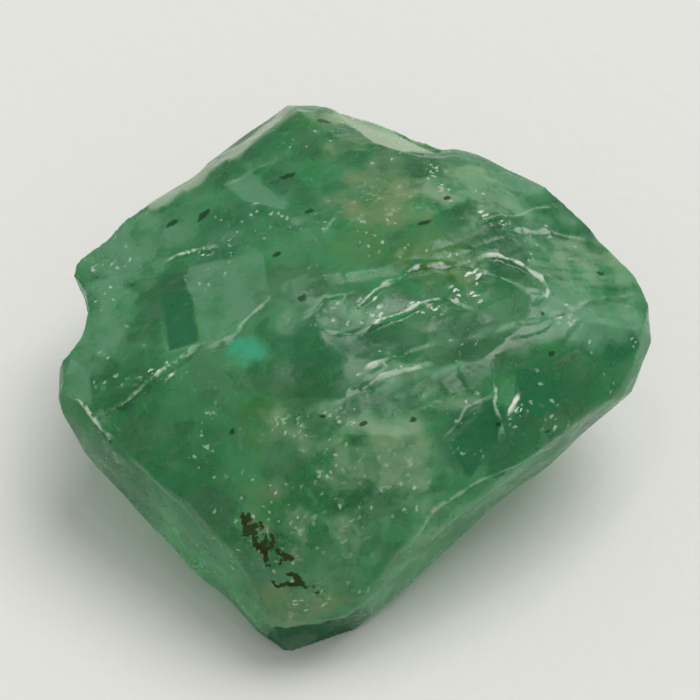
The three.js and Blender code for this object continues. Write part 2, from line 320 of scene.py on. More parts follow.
CLOUDS = {
    "olive": Cloud(colour=(0.12, 0.34, 0.06), clear=0.6, spots=(
        ((2.3, 0.9, 8.0), (1.7, 1.1, 1.5), 0.8),
        ((-2.4, -3.7, 6.7), (1.5, 1.2, 1.5), 0.6),
        ((-2.6, -6.2, 4.8), (1.0, 1.0, 1.2), 0.5),
        ((0.8, 2.2, 7.9), (2.2, 2.0, 1.5), 0.6),
        ((-1.0, 6.9, 7.1), (1.2, 0.7, 1.0), 0.7),
    )),
    "teal": Cloud(colour=(0.001, 0.3, 0.115), clear=0.7, spots=(
        ((-3.4, 6.2, 6.6), (1.6, 1.2, 1.5), 0.7),
        ((-3.6, 3.0, 6.9), (2.0, 1.2, 1.5), 0.7),
        ((-1.2, -1.6, 7.4), (1.6, 1.1, 1.0), 0.8),
        ((5.5, -2.5, 6.4), (1.2, 0.9, 1.5), 0.8),
        ((7.9, -0.7, 6.2), (0.6, 0.6, 1.2), 0.9),
        ((3.7, -4.1, 6.3), (1.6, 1.2, 1.8), 0.8),
        ((-5.0, -4.4, 5.0), (2.4, 1.8, 2.4), 0.5),
    )),
    "cream": Cloud(colour=(0.29, 0.4, 0.2), clear=0.4, spots=(
        ((-1.5, -6.2, 5.0), (2.8, 2.0, 2.4), 0.45),
        ((0.8, 3.4, 7.8), (1.9, 1.6, 1.2), 0.8),
        ((0.2, 5.2, 7.2), (2.0, 1.4, 1.2), 0.5),
        ((-1.6, -7.7, 2.8), (1.6, 0.8, 0.9), 0.9),
    )),
    "milk": Cloud(colour=(0.34, 0.52, 0.31), clear=0.3, spots=(
        ((1.2, -4.9, 6.4), (1.5, 1.3, 1.6), 1.0),
        ((2.7, -3.5, 7.2), (0.9, 0.5, 1.0), 0.7),
        ((-1.6, -4.0, 6.7), (2.0, 0.6, 1.0), 0.65),
        ((-0.4, -4.6, 6.5), (1.6, 1.2, 1.2), 0.6),
        ((-1.0, -6.4, 4.8), (2.0, 0.5, 1.4), 0.5),
        ((0.9, -2.6, 7.3), (1.6, 0.4, 0.8), 0.6),
        ((-0.2, -5.4, 5.8), (1.0, 0.8, 1.2), 0.6),
        ((3.6, 3.8, 7.4), (2.2, 1.8, 1.4), 0.75),
        ((7.0, 1.8, 6.6), (1.8, 1.6, 2.0), 0.7),
        ((3.6, 0.4, 7.9), (0.7, 0.6, 1.0), 0.6),
        ((2.4, -6.0, 4.4), (1.8, 0.8, 1.0), 0.5),
    )),
    # partly the crystal's paler green and pale streaks, partly painted sheen where facets and the steep
    # left side catch the light
    "pale": Cloud(colour=(0.22, 0.51, 0.31), clear=0.5, spots=(
        ((-6.6, 3.0, 5.9), (2.2, 1.6, 1.4), 0.9),
        ((-3.0, 2.6, 7.0), (2.6, 1.4, 1.4), 0.45),
        ((-7.6, 0.6, 5.4), (1.2, 2.2, 1.4), 0.8),
        ((6.9, -0.2, 6.9), (2.4, 1.2, 1.6), 1.0),
        ((5.2, 3.2, 7.0), (2.6, 2.0, 1.6), 0.5),
        ((3.2, -1.6, 7.4), (3.2, 0.7, 1.2), 0.4),
        ((-6.0, -5.4, 2.6), (3.6, 3.4, 2.2), 0.5),
    ), strokes=(
        (((4.3, -1.2, 7.4), (6.0, -0.6, 7.4), (8.4, 1.0, 6.1)), 0.16, 0.8),
        (((4.9, -0.3, 7.7), (6.7, 0.8, 6.9)), 0.14, 0.7),
        (((0.6, -2.7, 7.4), (2.2, -2.4, 7.4)), 0.14, 0.9),
        (((-0.7, -3.6, 7.0), (3.1, -2.5, 7.4)), 0.14, 0.8),
        (((-1.3, -5.6, 5.6), (-0.1, -7.0, 4.0)), 0.1, 0.8),
        (((-0.8, -5.3, 5.9), (0.5, -6.8, 4.2)), 0.08, 0.6),
        (((-2.7, 4.0, 7.2), (-2.0, 3.4, 7.4)), 0.16, 0.8),
    )),
    # a painted patch of bright light: bright turquoise below the long scarp on the left
    "painted_flash": Cloud(colour=(0.07, 0.63, 0.38), clear=0.4, spots=(
        ((-3.2, -1.8, 7.1), (0.9, 0.6, 1.0), 0.85),
        ((-3.4, -1.6, 7.1), (0.4, 0.3, 1.0), 0.95),
    )),
    # the far ledge: pale partly because it is thin, partly painted sheen of light grazing it
    "ledge": Cloud(colour=(0.5, 0.64, 0.45), clear=0.3, spots=(
        ((0.6, 7.4, 6.5), (1.6, 0.9, 1.2), 1.0),
        ((1.9, 6.4, 6.6), (1.2, 0.6, 0.8), 0.8),
    )),
    "bevel": Cloud(colour=(0.52, 0.62, 0.48), clear=0.3, spots=(), strokes=(
        (((-6.0, 4.65, 5.87), (-5.1, 5.1, 6.12), (-4.4, 5.5, 6.37), (-3.7, 5.9, 6.6)), 0.26, 1.6),
        (((-3.7, 5.9, 6.6), (-2.9, 6.7, 6.65), (-2.2, 7.7, 6.55)), 0.34, 1.7),
    )),
    # frosted white, partly real frosting and partly painted glints, as in the bright clusters at the eye's
    # ledge
    "frost_and_glint": Cloud(colour=(0.93, 0.96, 0.88), clear=0.1, spots=(
        ((-4.9, 2.3, 6.3), (1.2, 0.3, 0.5), 0.9),
        ((3.3, 0.1, 7.8), (0.6, 0.7, 0.6), 1.3),
        ((2.2, -0.3, 7.5), (0.7, 0.3, 0.5), 1.3),
        ((2.6, 4.3, 7.6), (0.5, 0.9, 0.6), 0.8),
        ((0.8, 3.2, 7.8), (1.6, 1.2, 0.8), 0.25),
        ((-1.4, -7.6, 3.0), (1.0, 0.5, 0.8), 0.6),
        ((4.0, 2.6, 7.7), (0.5, 0.5, 0.6), 0.8),
        ((-5.6, -1.9, 6.2), (1.3, 0.3, 0.5), 0.9),
        ((6.3, -0.5, 7.4), (0.5, 0.4, 0.5), 0.8),
        ((4.8, -3.4, 6.2), (0.4, 0.5, 0.6), 0.9),
        ((0.8, -0.7, 7.4), (1.6, 0.3, 0.5), 0.7),
        ((1.0, -5.2, 6.0), (1.6, 0.9, 1.0), 0.35),
        ((-1.7, -4.1, 6.7), (2.2, 0.4, 0.8), 0.4),
        ((-1.2, -6.6, 4.6), (2.4, 0.6, 1.4), 0.3),
    )),
    # painted shadow: darker green under the front lip, where the underside lies in shadow
    "painted_shade": Cloud(colour=(0.02, 0.13, 0.06), clear=0.5, spots=(
        ((-1.0, -7.6, 0.6), (2.4, 1.4, 1.4), 1.2),
    )),
}


# Healed cracks sealed in the crystal: the middle, the way each faces, and its radius.
VEILS = (
    ((-3.7, 0.3, 6.1), (-0.4, 0.1, 1.0), 1.6),
    ((1.0, -4.7, 5.3), (0.3, -0.8, 0.6), 1.7),
    ((2.4, 1.6, 7.0), (0.2, 0.5, 1.0), 2.0),
    ((5.6, 1.0, 6.1), (0.5, 0.3, 1.0), 1.8),
    ((0.6, 4.0, 6.7), (0.1, 0.7, 0.8), 1.8),
    ((-5.0, -4.0, 3.9), (-0.7, -0.4, 0.6), 1.5),
    ((4.9, -2.6, 5.3), (0.9, -0.2, 0.4), 1.4),
    ((-1.0, -1.6, 6.3), (-0.2, -0.6, 0.9), 2.0),
    ((-6.3, 1.6, 4.6), (-0.8, 0.3, 0.7), 1.3),
    ((-1.4, -6.2, 3.2), (0.5, -0.7, 0.3), 1.2),
    ((3.3, -3.9, 4.8), (0.1, -0.9, 0.3), 1.6),
    ((-3.0, 4.8, 5.7), (-0.5, 0.8, 0.5), 1.4),
    ((0.4, -3.0, 6.0), (0.7, -0.5, 0.6), 1.5),
    ((7.0, -0.6, 5.2), (0.8, -0.5, 0.6), 1.1),
)


# ---- The crystal's skin -------------------------------------------------------------------------

TINY = 1e-4  # two places this near are one, and the skin stays this far inside the CAD box, in mm
SKIN_REACH = 0.6  # how far above or below the skin a line or grain still marks it, in mm
WANDER_SEED = 5
EDGE_WANDER = (0.9, 0.12)  # the waves that bend the broken edges: their length and how far, in mm


def cad_copy():
    """The CAD solid as one joined mesh in millimetres."""
    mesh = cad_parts[NODE].data.copy()
    bm = bmesh.new()
    bm.from_mesh(mesh)
    bmesh.ops.scale(bm, vec=(1 / MM,) * 3, verts=bm.verts)
    bmesh.ops.remove_doubles(bm, verts=bm.verts, dist=TINY)
    bm.to_mesh(mesh)
    bm.free()
    return mesh


def modified(mesh, kind, **settings):
    """The mesh after one modifier."""
    holder = bpy.data.objects.new("holder", mesh)
    bpy.context.scene.collection.objects.link(holder)
    modifier = holder.modifiers.new("change", kind)
    for name, value in settings.items():
        setattr(modifier, name, value)
    graph = bpy.context.evaluated_depsgraph_get()
    changed = bpy.data.meshes.new_from_object(holder.evaluated_get(graph))
    bpy.data.objects.remove(holder)
    return changed


def points_and_normals(mesh):
    """The mesh's points and the way the skin faces at each, as two arrays."""
    count = len(mesh.vertices)
    points = np.zeros(count * 3, np.float32)
    normals = np.zeros(count * 3, np.float32)
    mesh.vertices.foreach_get("co", points)
    mesh.vertices.foreach_get("normal", normals)
    return points.reshape(-1, 3).astype(float), normals.reshape(-1, 3).astype(float)


def set_points(mesh, points):
    """Moves the mesh's points."""
    mesh.vertices.foreach_set("co", points.astype(np.float32).ravel())
    mesh.update()


def smoothstep(low, high, x):
    """0 at low and 1 at high, with a soft start and end."""
    t = np.clip((x - low) / (high - low), 0, 1)
    return t * t * (3 - 2 * t)


def dot(a, b):
    """The dot product of each pair of rows."""
    return np.einsum("ij,ij->i", a, b)


def swell(points, length, seed=0.0):
    """Smooth noise from about -1 to 1, with waves of that length."""
    to_full_reach = 1.4
    shift = Vector((seed, seed * 0.7, -seed))
    return np.array([noise.noise(Vector(p) / length + shift) for p in points]) * to_full_reach


def wandering(points, length, amount):
    """The points, each shifted by soft noise, so that lines drawn by them aren't ruled."""
    noise.seed_set(WANDER_SEED)  # noise_vector would start from the clock without it
    return points + np.array([noise.noise_vector(Vector(p) / length) for p in points]) * amount


def spots_at(points, spots):
    """The strongest of the spots at each point: full inside half its reach, 0 past its reach."""
    end, core = 1.25, 0.5  # as shares of the reach
    found = np.zeros(len(points))
    for middle, reach, strength in spots:
        away = np.linalg.norm((points - middle) / reach, axis=1)
        found = np.maximum(found, strength * smoothstep(end, core, away))
    return found


def shell_breaks(points, across, along, lean, seed):
    """Shell-like breaks: bowls, each leaning its own way, that meet in sharp ridges.

    Their heights go from 0 to about 1.
    """
    own_way = 7.3  # spreads the middles apart, so that each bowl draws its own lean
    g = np.array(GROWTH)
    squeezed = (points + np.outer(points @ g, g) * (across / along - 1)) / across + seed
    heights = np.zeros(len(points))
    for i, place in enumerate(squeezed):
        place = Vector(place)
        bowls = []
        for distance, middle in zip(*noise.voronoi(place)):
            tilt = noise.cell_vector(middle * own_way) - Vector((0.5, 0.5, 0.5))
            bowls.append(distance * distance + (place - middle).dot(tilt) * lean)
        heights[i] = min(bowls)
    return heights


def splinter_steps(points, width, seed):
    """Long low steps along the growth line, each rising slowly and ending in a sharp drop, 0 to 1."""
    bend = swell(points, 3.0, seed) * 1.2
    shake = swell(points, 0.8, seed) * 0.2
    place = points @ np.array(ACROSS) / width + bend + shake
    return place - np.floor(place)


def line_places(points, normals, corners):
    """How far each point is from a line, right-hand side positive, and how far along it lies, 0 to 1."""
    nearest = np.full(len(points), np.inf)
    signed = np.full(len(points), np.inf)
    along = np.zeros(len(points))
    corners = np.array(corners)
    runs = corners[1:] - corners[:-1]
    lengths = np.linalg.norm(runs, axis=1)
    start = 0.0
    for corner, run, length in zip(corners, runs, lengths):
        share = (points - corner) @ run / length**2
        offset = points - corner - np.clip(share, 0, 1)[:, None] * run
        rise = dot(offset, normals)
        beyond = np.maximum(np.abs(rise) - SKIN_REACH, 0)
        away = np.linalg.norm(offset - rise[:, None] * normals, axis=1) + beyond
        closer = away < nearest
        right = dot(offset, np.cross(run, normals))
        nearest[closer] = away[closer]
        signed[closer] = (away * np.sign(right))[closer]
        along[closer] = (start + np.clip(share, 0, 1) * length)[closer]
        start += length
    return signed, along / start


def edge_ends(along):
    """1 along an edge, fading out over its first and last fifth."""
    fade, least = 5, 0.02
    return np.minimum(1, np.minimum(along, 1 - along) * fade + least)


def edge_relief(points, normals, edge):
    """The height that a broken edge adds: a sharp fall that comes back slowly, and a low lip."""
    fall_start, fall_end = -0.03, 0.08  # mm from the edge
    come_back = edge.run * 0.45
    lip_reach, lip_end, lip_share = 0.6, 0.04, 0.5
    farthest = 4 * edge.run + 1
    signed, along = line_places(points, normals, edge.corners)
    fall = -smoothstep(fall_start, fall_end, signed) * np.exp(-np.maximum(signed, 0) / come_back)
    back = np.exp(-np.abs(signed) / lip_reach) * (signed < lip_end)
    height = (fall * edge.drop + back * edge.lip * lip_share) * edge_ends(along)
    return np.where(np.abs(signed) < farthest, height, 0)


def edge_lines(points, normals):
    """How far each point is from the nearest edge with a painted highlight line, partly frosted, and how
    bright that line is there.

    The distance is in mm, and stops at the farthest that is looked for.
    """
    farthest = 1.0
    nearest = np.full(len(points), farthest)
    bright = np.zeros(len(points))
    for edge in EDGES:
        signed, along = line_places(points, normals, edge.corners)
        away = np.abs(signed)
        closer = away < nearest
        nearest[closer] = away[closer]
        bright[closer] = (edge_ends(along) * edge.bright)[closer]
    return nearest, bright


def inside_pane(points, corners):
    """How far each point is inside the corners, its height off the pane, and the way the pane faces."""
    corners = np.array(corners)
    middle = corners.mean(axis=0)
    facing = np.linalg.svd(corners - middle)[2][2]
    facing = facing * np.sign(facing[2])
    inside = np.full(len(points), np.inf)
    turn = np.sign(np.cross(corners[1] - corners[0], corners[2] - corners[1]) @ facing)
    for start, end in zip(corners, np.roll(corners, -1, axis=0)):
        inward = np.cross(facing, end - start) * turn
        inside = np.minimum(inside, (points - start) @ inward / np.linalg.norm(inward))
    height = (points - middle) @ facing
    farthest, outside = 0.9, -10  # a point farther off the pane than 0.9 mm counts as far outside it
    return np.where(np.abs(height) < farthest, inside, outside), height, facing


def pane_shift(points, pane):
    """Moves that press the skin flat inside a pane."""
    starts, full, sunk = -0.15, 0.12, 0.03  # mm inside its corners, and mm under its plane
    inside, height, facing = inside_pane(points, pane.corners)
    return np.outer(-smoothstep(starts, full, inside) * (height + sunk), facing)


def strokes_at(points, normals, strokes):
    """The strongest of the strokes at each point: full along its middle, 0 past its reach."""
    found = np.zeros(len(points))
    for corners, width, strength in strokes:
        reach = width * 1.6 + 0.05
        signed, along = line_places(points, normals, corners)
        found = np.maximum(found, strength * (1 - np.abs(signed) / reach))
    return found


def grain_marks(points, normals):
    """1 at the middle of a dark grain and 0 away from it."""
    halo = 0.05  # mm added to each half size
    g = np.array(GROWTH)
    marks = np.zeros(len(points))
    for middle, half_length, half_width in GRAINS:
        offset = points - middle
        rise = dot(offset, normals)
        offset -= rise[:, None] * normals
        lengthwise = offset @ g
        sideways = np.linalg.norm(offset - np.outer(lengthwise, g), axis=1)
        away = np.hypot(lengthwise / (half_length + halo), sideways / (half_width + halo))
        marks = np.maximum(marks, np.exp(-(away**2)) * (np.abs(rise) < SKIN_REACH))
    return marks


def skin_heights(points, normals, settings):
    """The relief of the broken skin: breaks of three sizes, splinters, fine waves, wear and edges."""
    rim = 0.2  # the height that most of a bowl's rim has
    wave_height, wear_depth = 0.003, 0.22
    drawn = wandering(points, *EDGE_WANDER)
    rough = 1 - 0.85 * spots_at(points, CALM)
    large = shell_breaks(points, across=2.3, along=3.4, lean=1.1, seed=3.1) - rim
    middling = shell_breaks(drawn, across=1.0, along=1.5, lean=1.6, seed=11.7) - rim
    small = shell_breaks(drawn, across=0.4, along=0.6, lean=1.8, seed=23.9) - rim
    heights = large * settings.shells * 1.5 * (0.15 + 0.85 * rough)
    heights += middling * settings.shells * 0.34 * rough
    heights += small * settings.shells * 0.04 * rough
    steps = splinter_steps(points, width=0.5, seed=4.0) - 0.5
    heights += steps * settings.splinters * spots_at(points, SPLINTERED)
    heights += swell(points, 0.4, seed=9.0) * wave_height
    heights -= spots_at(points, WORN) * wear_depth
    for edge in EDGES:
        heights += edge_relief(drawn, normals, edge)
    return heights


def thinness(mesh, points, normals):
    """1 where the crystal is thin under the skin and 0 where it is thick."""
    start, thick, fade = 0.05, 10.0, 1.4  # mm
    tree = BVHTree.FromPolygons([Vector(p) for p in points], [tuple(f.vertices) for f in mesh.polygons])
    thin = np.zeros(len(points))
    for i, (point, normal) in enumerate(zip(points, normals)):
        inward = -Vector(normal)
        hit = tree.ray_cast(Vector(point) + inward * start, inward)
        depth = hit[3] if hit[0] else thick
        thin[i] = math.exp(-depth / fade)
    return thin


def neighbours_mean(mesh, values):
    """The mean of each point's neighbours across the mesh's edges."""
    edges = np.zeros(len(mesh.edges) * 2, np.int32)
    mesh.edges.foreach_get("vertices", edges)
    first, second = edges.reshape(-1, 2).T
    total = np.zeros_like(values)
    count = np.zeros(len(values))
    for here, there in ((first, second), (second, first)):
        np.add.at(total, here, values[there])
        np.add.at(count, here, 1)
    return total / (count[:, None] if values.ndim > 1 else count)


def sharpness(mesh, points, normals):
    """Above 0 on ridges and below 0 in creases."""
    bend = dot(points - neighbours_mean(mesh, points), normals)
    return neighbours_mean(mesh, bend)


def store(mesh, name, values):
    """Keeps a number on each of the mesh's points, for the material to read."""
    mesh.attributes.new(name, "FLOAT", "POINT").data.foreach_set("value", values.astype(np.float32))


def in_cad_box(points):
    """The points, brought inside the CAD solid's box."""
    low, high = (np.array(c) / MM for c in CAD_BOX)
    return np.clip(points, low + TINY, high - TINY)


def broken_skin(settings):
    """The crystal's shape in millimetres, with its relief, which fades out near the resting face."""
    resting, full_relief = 0.02, 0.5  # mm above the floor
    mesh = modified(cad_copy(), "REMESH", mode="VOXEL", voxel_size=settings.grain)
    points, normals = points_and_normals(mesh)
    share = smoothstep(resting, full_relief, points[:, 2])
    moved = points + normals * (skin_heights(points, normals, settings) * share)[:, None]
    for pane in PANES:
        moved += pane_shift(moved, pane)
    set_points(mesh, in_cad_box(moved))
    triangles = sum(len(face.vertices) - 2 for face in mesh.polygons)
    return modified(mesh, "DECIMATE", ratio=settings.most_triangles / triangles)


def crystal_mesh(settings):
    """The crystal's skin in metres, with the numbers that its material reads."""
    mesh = broken_skin(settings)
    points, normals = points_and_normals(mesh)
    store(mesh, "thin", thinness(mesh, points, normals))
    store(mesh, "ridge", sharpness(mesh, points, normals) / settings.grain)
    # how near each point is to a broken edge, and how bright: the material paints highlight lines there,
    # partly frosted
    away, bright = edge_lines(wandering(points, *EDGE_WANDER), normals)
    store(mesh, "edge_away", away)
    store(mesh, "edge_bright", bright)
    rust = [(corners, width, 1.0) for corners, width in RUST]
    store(mesh, "rust", strokes_at(wandering(points, 0.3, 0.05), normals, rust))
    store(mesh, "grains", grain_marks(wandering(points, 0.2, 0.04), normals))
    drawn = wandering(points, 1.1, 0.3)
    outer, inner = -0.04, 0.06  # where a pane's colour starts and is full, in mm inside its corners
    for name, cloud in CLOUDS.items():
        amount = np.maximum(spots_at(drawn, cloud.spots), strokes_at(points, normals, cloud.strokes))
        for pane in PANES:
            if pane.cloud == name:
                amount += smoothstep(outer, inner, inside_pane(points, pane.corners)[0]) * pane.strength
        store(mesh, name, amount)
    mesh.shade_smooth()
    set_points(mesh, in_cad_box(points) * MM)
    return mesh


# ---- What is sealed in it -----------------------------------------------------------------------

COVER = 0.1  # how much crystal lies over a sealed piece, in mm
VEIL_THICKNESS = 0.012  # half of a healed crack's thickness, as a share of the sphere it is pressed from
LOOSE_GRAINS = 60
LOWEST_GRAIN = 3  # how far above the floor the loose grains start, in mm
NEAR_SKIN = 0.6  # how near the skin a loose grain's place is drawn, in mm
GRAIN_SEED = 7


def depth_under(point, skin):
    """How far a point lies under the skin: less than nothing outside the crystal.

    A line from inside the crystal meets its skin an odd number of times.
    """
    near, normal, face, away = skin.find_nearest(point)
    line = Vector((0.2, 0.1, 1))
    start = point
    crossings = 0
    while start:
        start, normal, face, length = skin.ray_cast(start, line)
        if start:
            crossings += 1
            start = start + line * TINY
    return away if crossings % 2 else -away


def keep_under(points, skin):
    """The points, with those outside the crystal or too near its skin brought under it."""
    kept = points.copy()
    for i, point in enumerate(points):
        if depth_under(Vector(point), skin) < COVER:
            near, normal, face, away = skin.find_nearest(Vector(point))
            kept[i] = near - normal * COVER
    return kept


def add_veil(bm, skin, middle, facing, radius):
    """Adds one thin curved film with a ragged outline."""
    lens = bmesh.ops.create_icosphere(bm, subdivisions=4, radius=1)["verts"]
    points = np.array([v.co for v in lens])
    outline = 1 + 0.35 * swell(points * (1, 1, 0), 0.6, middle[0])
    bend = 0.16 * swell(points * (1, 1, 0) * radius, 1.1, middle[1])
    points[:, :2] *= (radius * outline)[:, None]
    points[:, 2] = points[:, 2] * VEIL_THICKNESS + bend
    turn = np.array(Vector(facing).to_track_quat("Z", "Y").to_matrix())
    points = keep_under(points @ turn.T + middle, skin)
    for vert, point in zip(lens, points):
        vert.co = point


def add_grain(bm, skin, middle, half_length, half_width, rng):
    """Adds one angular grain lying along the growth line, unless it would poke through the skin."""
    chip = bmesh.ops.create_icosphere(bm, subdivisions=1, radius=1)["verts"]
    for vert in chip:
        vert.co *= rng.uniform(0.6, 1.1)
    bmesh.ops.scale(bm, vec=(half_length, half_width, half_width * 0.6), verts=chip)
    turn = GROWTH.to_track_quat("X", "Z").to_matrix().to_4x4()
    near, normal, face, away = skin.find_nearest(Vector(middle))
    place = Matrix.Translation(near - normal * (COVER + half_width))
    bmesh.ops.transform(bm, matrix=place @ turn, verts=chip)
    if any(depth_under(vert.co, skin) < COVER / 2 for vert in chip):
        bmesh.ops.delete(bm, geom=chip, context="VERTS")


def loose_places(skin, count, rng):
    """Places for more grains, just under the skin of the upper half."""
    places = []
    low, high = (Vector(c) / MM for c in CAD_BOX)
    while len(places) < count:
        across = rng.uniform(low.x, high.x)
        back = rng.uniform(low.y, high.y)
        up = rng.uniform(LOWEST_GRAIN, high.z)
        near, normal, face, away = skin.find_nearest(Vector((across, back, up)))
        if away < NEAR_SKIN:
            places.append(near)
    return places


def finished(bm, name):
    """The bmesh as a mesh in metres."""
    bmesh.ops.recalc_face_normals(bm, faces=bm.faces)
    bmesh.ops.scale(bm, vec=(MM,) * 3, verts=bm.verts)
    mesh = bpy.data.meshes.new(name)
    bm.to_mesh(mesh)
    bm.free()
    return mesh


def skin_tree():
    """The crystal's finished skin, for finding what is nearest, in millimetres."""
    mesh = bpy.data.objects["crystal"].data
    points = [v.co / MM for v in mesh.vertices]
    return BVHTree.FromPolygons(points, [tuple(face.vertices) for face in mesh.polygons])


# ---- Materials ----------------------------------------------------------------------------------

STREAK = (0.22, 0.5, 0.3, 1)
DARK_PATCH = (0.014, 0.23, 0.09, 1)
PALE_PATCH = (0.19, 0.48, 0.26, 1)
THIN_EDGE = (0.38, 0.62, 0.42, 1)
DARK_GRAIN = (0.008, 0.04, 0.015, 1)
BROWN_RUST = (0.022, 0.035, 0.006, 1)
RED_RUST = (0.03, 0.009, 0.003, 1)
GRAIN_TONES = ((0.004, 0.012, 0.006, 1), (0.02, 0.03, 0.012, 1))
CRACK_TONES = ((0.3, 0.6, 0.38, 1), (0.75, 0.88, 0.75, 1))
FINE_GRAIN = 0.00003  # depth of the bump's fine grain on the crystal, in metres
PAPER_GRAIN = 0.0001  # and on the paper
CLEAR_SWING = 0.1  # how much clearer the dark clouds are than usual, and the light ones less clear


class Paint:
    """A material and short ways to add nodes to it"""

    def __init__(self, name):
        self.material = bpy.data.materials.new(name)
        self.material.use_nodes = True
        self.nodes = self.material.node_tree.nodes
        self.links = self.material.node_tree.links
        self.shader = self.nodes["Principled BSDF"]
        self.output = self.nodes["Material Output"]

    def add(self, kind, inputs=None, **settings):
        """A node, with what feeds its inputs and how it is set"""
        node = self.nodes.new(kind)
        for name, value in settings.items():
            setattr(node, name, value)
        for name, value in (inputs or {}).items():
            self.feed(node.inputs[name], value)
        return node

    def feed(self, socket, value):
        """Links a socket to another or gives it a fixed value"""
        if isinstance(value, bpy.types.NodeSocket):
            self.links.new(value, socket)
        else:
            socket.default_value = value

    def surface(self, **values):
        """Feeds the shader's own sockets by their names"""
        for name, value in values.items():
            self.feed(self.shader.inputs[name.replace("_", " ")], value)

    def millimetres(self):
        """Object coordinates in millimetres"""
        place = self.add("ShaderNodeTexCoord").outputs["Object"]
        return self.scaled(place, 1 / MM)

    def stored(self, name):
        """A number kept on the mesh's points"""
        return self.add("ShaderNodeAttribute", attribute_name=name).outputs["Fac"]

    def vector(self, operation, first, second):
        node = self.add("ShaderNodeVectorMath", {0: first, 1: second}, operation=operation)
        return node.outputs["Vector"]

    def scaled(self, value, by):
        return self.vector("MULTIPLY", value, (by, by, by))

    def number(self, operation, first, second):
        return self.add("ShaderNodeMath", {0: first, 1: second}, operation=operation).outputs["Value"]

    def ramp(self, value, low, high, start=0.0, end=1.0):
        """A smooth change from start to end while value goes from low to high"""
        inputs = {"Value": value, "From Min": low, "From Max": high, "To Min": start, "To Max": end}
        return self.add("ShaderNodeMapRange", inputs, interpolation_type="SMOOTHSTEP").outputs["Result"]

    def mix(self, share, first, second):
        """The first colour, turning into the second as share goes from 0 to 1"""
        node = self.add("ShaderNodeMix", data_type="RGBA")
        for socket, value in zip((node.inputs[0], node.inputs[6], node.inputs[7]), (share, first, second)):
            self.feed(socket, value)
        return node.outputs[2]

    def blend(self, share, first, second):
        """Like mix, for plain numbers"""
        node = self.add("ShaderNodeMix", {0: share, 2: first, 3: second})
        return node.outputs[0]

    def noise(self, place, length, detail=2.0, output="Fac"):
        """Smooth noise with waves of that length, in mm"""
        inputs = {"Vector": place, "Scale": 1 / length, "Detail": detail}
        return self.add("ShaderNodeTexNoise", inputs).outputs[output]

    def ragged(self, place, length, detail, amount):
        """Noise on both sides of 0, up to about half the amount each way"""
        around_zero = self.number("SUBTRACT", self.noise(place, length, detail), 0.5)
        return self.number("MULTIPLY", around_zero, amount)

    def cells(self, place, length, output="Distance"):
        """Cells of that size, in mm"""
        return self.add("ShaderNodeTexVoronoi", {"Vector": place, "Scale": 1 / length}).outputs[output]

    def shaken(self, place, length, amount):
        """The place, shifted by soft noise, so that outlines wander"""
        wander = self.vector("SUBTRACT", self.noise(place, length, output="Color"), (0.5, 0.5, 0.5))
        return self.vector("ADD", place, self.scaled(wander, 2 * amount))

    def largest(self, first, *others):
        """The largest of the numbers"""
        for other in others:
            first = self.number("MAXIMUM", first, other)
        return first


def along_growth(paint, place, squeeze):
    """The place turned so that x runs along the growth line, and drawn out that way"""
    turn = GROWTH.to_track_quat("X", "Z").to_euler()
    inputs = {"Vector": place, "Rotation": turn, "Scale": (1 / squeeze, 1, 1)}
    mapping = paint.add("ShaderNodeMapping", inputs, vector_type="TEXTURE")
    return paint.shaken(mapping.outputs["Vector"], length=0.9, amount=0.15)


def mosaic(paint, colour, place, length, strength):
    """Flat-sided patches, as of breaks seen at different depths, some darker and some paler"""
    tone = paint.add("ShaderNodeSeparateColor", {"Color": paint.cells(place, length, output="Color")})
    dark = paint.ramp(tone.outputs["Red"], 0.4, 0.1, 0, strength)
    pale = paint.ramp(tone.outputs["Green"], 0.6, 0.95, 0, strength)
    colour = paint.mix(dark, colour, DARK_PATCH)
    return paint.mix(pale, colour, PALE_PATCH)


def body_colour(paint, place, lengthwise, colours):
    """The green with its clouds, streaks and patches, and how clear it is. Some of its clouds are painted
    shadow, painted sheen and a painted patch of bright light.
    """
    light = paint.ramp(paint.noise(place, length=2.4, detail=4.0), 0.38, 0.64)
    colour = paint.mix(light, (*colours.body, 1), (*colours.light_body, 1))
    clear = paint.blend(light, colours.clearness + CLEAR_SWING, colours.clearness - CLEAR_SWING)
    colour = mosaic(paint, colour, lengthwise, length=1.4, strength=0.55)
    colour = mosaic(paint, colour, paint.shaken(place, length=0.7, amount=0.1), length=0.6, strength=0.35)
    streak = paint.noise(along_growth(paint, place, squeeze=0.2), length=0.3)
    colour = paint.mix(paint.ramp(streak, 0.52, 0.72, 0, 0.5), colour, STREAK)
    ragged = paint.ragged(place, length=0.8, detail=4.0, amount=2.0)
    # some of these clouds paint light and shadow: a bright patch of light, shadow under the front lip, and
    # sheen in the pale and ledge clouds
    for name in ("olive", "teal", "cream", "milk", "pale", "painted_flash", "ledge", "bevel", "painted_shade"):
        share = paint.ramp(paint.number("ADD", paint.stored(name), ragged), 0.2, 1.1, 0, 0.9)
        colour = paint.mix(share, colour, (*CLOUDS[name].colour, 1))
        clear = paint.blend(share, clear, CLOUDS[name].clear)
    return colour, clear


def flecks(paint, place, spacing, size, crowd):
    """Small ragged flecks, of that size as a share of their spacing, where they crowd together"""
    uneven = paint.ragged(place, length=spacing * 0.45, detail=2.0, amount=1.5)
    fleck = paint.ramp(paint.number("ADD", paint.cells(place, spacing), uneven), size, size * 0.6)
    return paint.number("MULTIPLY", fleck, crowd)


